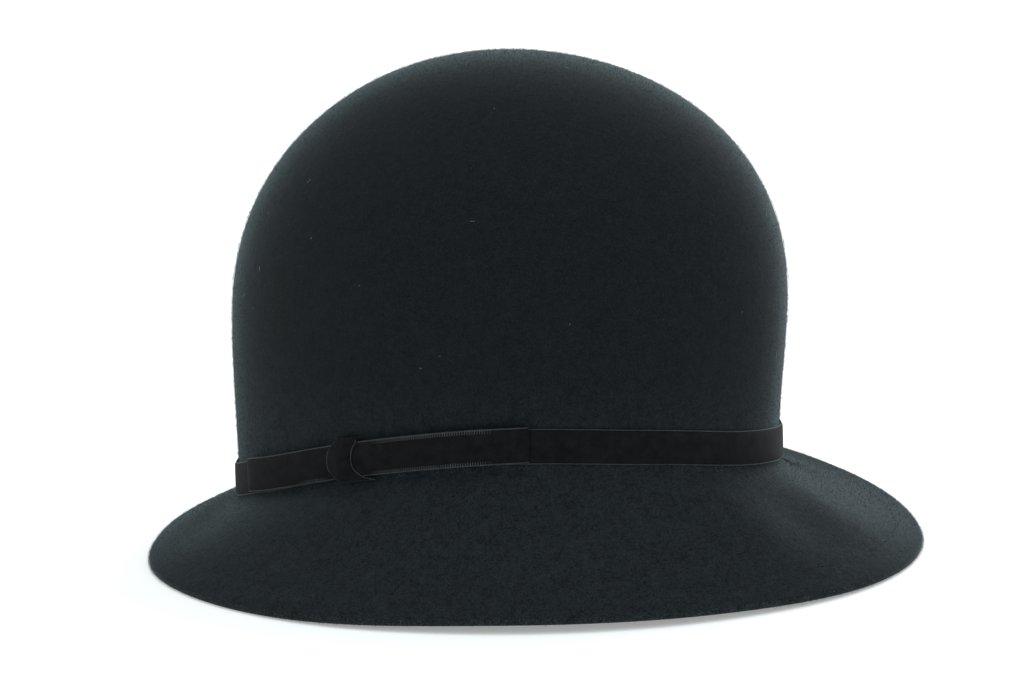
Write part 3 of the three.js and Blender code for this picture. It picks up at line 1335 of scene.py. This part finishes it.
@dataclass
class Lint:
    """A few pale fibres and specks that lie on the felt.

    Attributes:
        count: how many there are.
        lengths_mm: the lengths to choose from.
        thread_mm: least and most of half their thickness.
        bend: most that one curves, as a share of its length.
        lift_mm: height above the felt.
        start: distance from which the felt is looked at.
        upward: spread of the looks upwards, where 1 is the spread sideways.
        least_up: smallest upward part of a look.
        centre: what the looks aim at, from the foot of the crown's axis.
    """

    felt: FeltBody
    material: bpy.types.Material
    count: int = 46
    lengths_mm: tuple[float, ...] = (0.5, 0.7, 1.4, 2.6)
    thread_mm: tuple[float, float] = (0.03, 0.05)
    thread_sides: int = 4
    steps: int = 4
    bend: float = 0.5
    lift_mm: float = 0.25
    start: float = 0.25
    upward: float = 0.8
    least_up: float = 0.02
    centre: Vector = field(default_factory=lambda: Vector((0, 0, 0.06)))

    def make(self) -> bpy.types.Object:
        """Makes all the lint.

        Returns:
            The lint.
        """
        chance = random.Random(SEED + 1)
        shape = bmesh.new()
        made = 0
        while made < self.count:
            aside = (chance.gauss(0, 1), chance.gauss(0, 1))
            away = Vector((*aside, abs(chance.gauss(0, self.upward)) + self.least_up)).normalized()
            origin = self.felt.middle + self.centre + away * self.start
            spot, normal, _, _ = self.felt.tree.ray_cast(origin, -away)
            if spot is None:
                continue
            side = normal.orthogonal().normalized()
            turn = chance.uniform(0, 2 * math.pi)
            along = side * math.cos(turn) + normal.cross(side) * math.sin(turn)
            bend = normal.cross(along) * chance.uniform(-self.bend, self.bend)
            length = chance.choice(self.lengths_mm) * MM
            line = []
            for k in range(self.steps + 1):
                t = k / self.steps - 0.5
                arc = along * (length * t) + bend * (length * (t * t))
                line.append(spot + arc + normal * (self.lift_mm * MM))
            radius = chance.uniform(*self.thread_mm) * MM
            add_thread(shape, line, radius, self.thread_sides)
            made += 1
        close_up(shape)
        return show(shape, "lint", Slot.FELT, self.material)


@dataclass(frozen=True)
class CameraSetting:
    """Where the camera stands and how it looks at the hat.

    Attributes:
        azimuth: degrees round the hat, below 0 towards the wearer's right.
        elevation: degrees above level.
        roll: degrees of tilt about the line of sight.
        distance: from the point that it aims at.
        aim: that point.
        aside_mm: how far it stands to the right of it.
    """

    azimuth: float = -25.0
    elevation: float = 10.0
    roll: float = 1.6
    distance: float = 1.5
    aim: tuple[float, float, float] = (-0.0016, 0.0051, 0.0639)
    aside_mm: float = 0.64
    lens: float = 166.4
    sensor: float = 36.0
    clip: tuple[float, float] = (0.05, 20.0)


@dataclass(frozen=True)
class Light:
    """A soft studio light that shines at the hat."""

    name: str
    place: tuple[float, float, float]
    size: tuple[float, float]
    watts: float
    colour: str


@dataclass
class Studio:
    """White surroundings, a plain pale floor, soft lights and the camera."""

    camera: CameraSetting
    lamps: tuple[Light, ...] = (
        Light("top", (0.2, 0.1, 1.3), (1.2, 1.0), 4.5, "f6fbff"),
        Light("right", (1.2, 0.85, 0.55), (0.8, 0.8), 9.5, "f6fbff"),
    )
    ambient: float = 0.7
    ambient_colour: str = "f5fbfc"
    backdrop_colour: str = "fbfdfc"
    floor_colour: str = "fbfcfb"
    floor_size: float = 14.0
    floor_glow: float = 0.32
    floor_roughness: float = 0.9
    floor_specular: float = 0.1

    def world(self) -> None:
        """White surroundings."""
        world = bpy.data.worlds.new("studio")
        sheet = NodeSheet(world)
        straight = sheet.add("ShaderNodeLightPath").outputs["Is Camera Ray"]
        fill = {"Color": srgb(self.ambient_colour), "Strength": self.ambient}
        around = sheet.add("ShaderNodeBackground", fill).outputs[0]
        seen = sheet.add("ShaderNodeBackground", {"Color": srgb(self.backdrop_colour)}).outputs[0]
        choice = sheet.add("ShaderNodeMixShader", {0: straight, 1: around, 2: seen}).outputs[0]
        sheet.add("ShaderNodeOutputWorld", {"Surface": choice})
        bpy.context.scene.world = world

    def lights(self) -> None:
        """Soft lights round the hat."""
        for lamp in self.lamps:
            data = bpy.data.lights.new(lamp.name, "AREA")
            data.shape = "RECTANGLE"
            data.size, data.size_y = lamp.size
            data.energy = lamp.watts
            data.color = srgb(lamp.colour)[:3]
            light = bpy.data.objects.new(lamp.name, data)
            light.location = lamp.place
            towards = Vector(self.camera.aim) - Vector(lamp.place)
            light.rotation_euler = towards.to_track_quat("-Z", "Y").to_euler()
            bpy.context.scene.collection.objects.link(light)

    def floor(self) -> None:
        """A plain pale floor that the hat rests on."""
        shape = bmesh.new()
        bmesh.ops.create_grid(shape, x_segments=1, y_segments=1, size=self.floor_size / 2)
        mesh = bpy.data.meshes.new("floor")
        shape.to_mesh(mesh)
        shape.free()
        # Matt white paper has no shine and reads as one even pale ground.
        paper = bpy.data.materials.new("matt_paper")
        sheet = NodeSheet(paper)
        surface = {
            "Base Color": srgb(self.floor_colour),
            "Roughness": self.floor_roughness,
            "Specular IOR Level": self.floor_specular,
            "Emission Color": srgb(self.floor_colour),
            "Emission Strength": self.floor_glow,
        }
        shader = sheet.add("ShaderNodeBsdfPrincipled", surface).outputs["BSDF"]
        sheet.add("ShaderNodeOutputMaterial", {"Surface": shader})
        mesh.materials.append(paper)
        floor = bpy.data.objects.new("floor", mesh)
        bpy.context.scene.collection.objects.link(floor)

    def view(self) -> None:
        """The camera, at the photo's angle."""
        c = self.camera
        turn, rise, roll = (math.radians(angle) for angle in (c.azimuth, c.elevation, c.roll))
        level = Vector((math.cos(turn), math.sin(turn), 0))
        back = Vector((level.y * math.cos(rise), -level.x * math.cos(rise), math.sin(rise)))
        right = level * math.cos(roll) - back.cross(level) * math.sin(roll)
        data = bpy.data.cameras.new("camera")
        data.lens = c.lens
        data.sensor_width = c.sensor
        data.clip_start, data.clip_end = c.clip
        data.dof.use_dof = False
        camera = bpy.data.objects.new("camera", data)
        place = Vector(c.aim) + back * c.distance + right * (c.aside_mm * MM)
        axes = Matrix((right, back.cross(right), back)).transposed().to_4x4()
        camera.matrix_world = Matrix.Translation(place) @ axes
        bpy.context.scene.collection.objects.link(camera)
        bpy.context.scene.camera = camera

    def make(self) -> None:
        """Sets up the whole studio."""
        self.world()
        self.floor()
        self.lights()
        self.view()
        display = bpy.context.scene.view_settings
        display.view_transform = "Standard"
        display.look = "None"


@dataclass
class ClocheHat:
    """The whole hat.

    Attributes:
        middle: foot of the crown's upright axis.
        under_knot_mm: how far each wing runs on under the knot.
        nap: bent fibres on the crown, and as many on the brim.
        crown_fuzz: standing fibres on the crown.
        brim_fuzz: standing fibres on the brim.
        edge_fuzz: more of them on the brim's edge.
        edge_normal: most upward share of the normal of a face on the brim's edge.
    """

    middle: Vector
    under_knot_mm: float = 3.4
    nap: int = 56000
    crown_fuzz: int = 110000
    brim_fuzz: int = 62000
    edge_fuzz: int = 60000
    quick_share: float = 0.1
    edge_normal: float = 0.5

    def felt(self) -> None:
        """Felt, stitches, nap and lint."""
        felt = FeltBody(FELT_NODE, self.middle, FELT.material())
        felt.body()
        HemStitches(felt, HEM_THREAD.material()).make()
        trims = [tree_of(name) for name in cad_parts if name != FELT_NODE]
        band = tree_of(BAND_NODE)
        fibres = Nap(felt, trims)
        share = 1.0

        def on_crown(place: Vector, _: Vector) -> bool:
            """Whether a face is above the ribbon."""
            return place.z > band.find_nearest(place)[0].z

        def on_brim(place: Vector, normal: Vector) -> bool:
            """Whether a face is on the brim."""
            return not on_crown(place, normal)

        def on_edge(place: Vector, normal: Vector) -> bool:
            """Whether a face is on the brim's rolled edge."""
            return on_brim(place, normal) and normal.z < self.edge_normal

        nap = int(share * self.nap)
        crown_fuzz = int(share * self.crown_fuzz)
        brim_fuzz = int(share * self.brim_fuzz)
        edge_fuzz = int(share * self.edge_fuzz)
        # The crown's fibres take a copy of the nap painted darker as painted shade, and the brim's
        # take a copy painted lighter as painted light.
        crown_nap_painted_shade, brim_nap_painted_light = SHADED_CROWN_NAP.material(), LIT_BRIM_NAP.material()
        fibres.make("nap_crown", nap, (LYING, STANDING), crown_nap_painted_shade, on_crown)
        fibres.make("fuzz_crown", crown_fuzz, (FUZZ,), crown_nap_painted_shade, on_crown)
        fibres.make("nap_brim", nap, (LYING,), brim_nap_painted_light, on_brim)
        fibres.make("fuzz_brim", brim_fuzz, (FUZZ,), brim_nap_painted_light, on_brim)
        # The edge's fuzz takes a copy of the nap painted paler still, as painted light.
        fibres.make("fuzz_edge", edge_fuzz, (FUZZ,), LIT_EDGE_NAP.material(), on_edge)
        Lint(felt, LINT.material()).make()

    def ribbons(self) -> None:
        """Band, wings and knot."""
        velvet, cord, picot = VELVET.material(), SELVEDGE.material(), LIT_PICOT.material()
        makes = {
            BAND_NODE: RibbonMake(thickness_mm=1.1),
            FRONT_WING_NODE: RibbonMake(
                thickness_mm=1.7,
                fold=Fold.LAST,
                fold_mm=0.8,
                picots=(0.16, 0.86),
                picot_edges=(Edge.LOWER, Edge.UPPER),
            ),
            REAR_WING_NODE: RibbonMake(
                thickness_mm=1.7,
                fold=Fold.FIRST,
                fold_mm=0.8,
                picots=(0.02, 0.34),
                picot_edges=(Edge.LOWER,),
            ),
        }
        for node, make_up in makes.items():
            single = make_up.fold is Fold.NONE
            path = RibbonPath.read(node, self.middle, single)
            if single:
                band = path
            else:
                path.lengthen(make_up.fold is Fold.LAST, self.under_knot_mm * MM)
            VelvetRibbon(node, path, make_up, velvet, cord, picot).make()
        BowKnot(KNOT_NODE, band, velvet, cord).make()


def main() -> None:
    """Builds the scene."""
    logging.basicConfig(level=logging.INFO)
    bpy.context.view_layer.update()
    low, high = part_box(BAND_NODE)
    hat = ClocheHat(Vector(((low[0] + high[0]) / 2, (low[1] + high[1]) / 2, 0)))
    hat.felt()
    hat.ribbons()
    Studio(CameraSetting()).make()


if __name__ == "__main__":
    main()
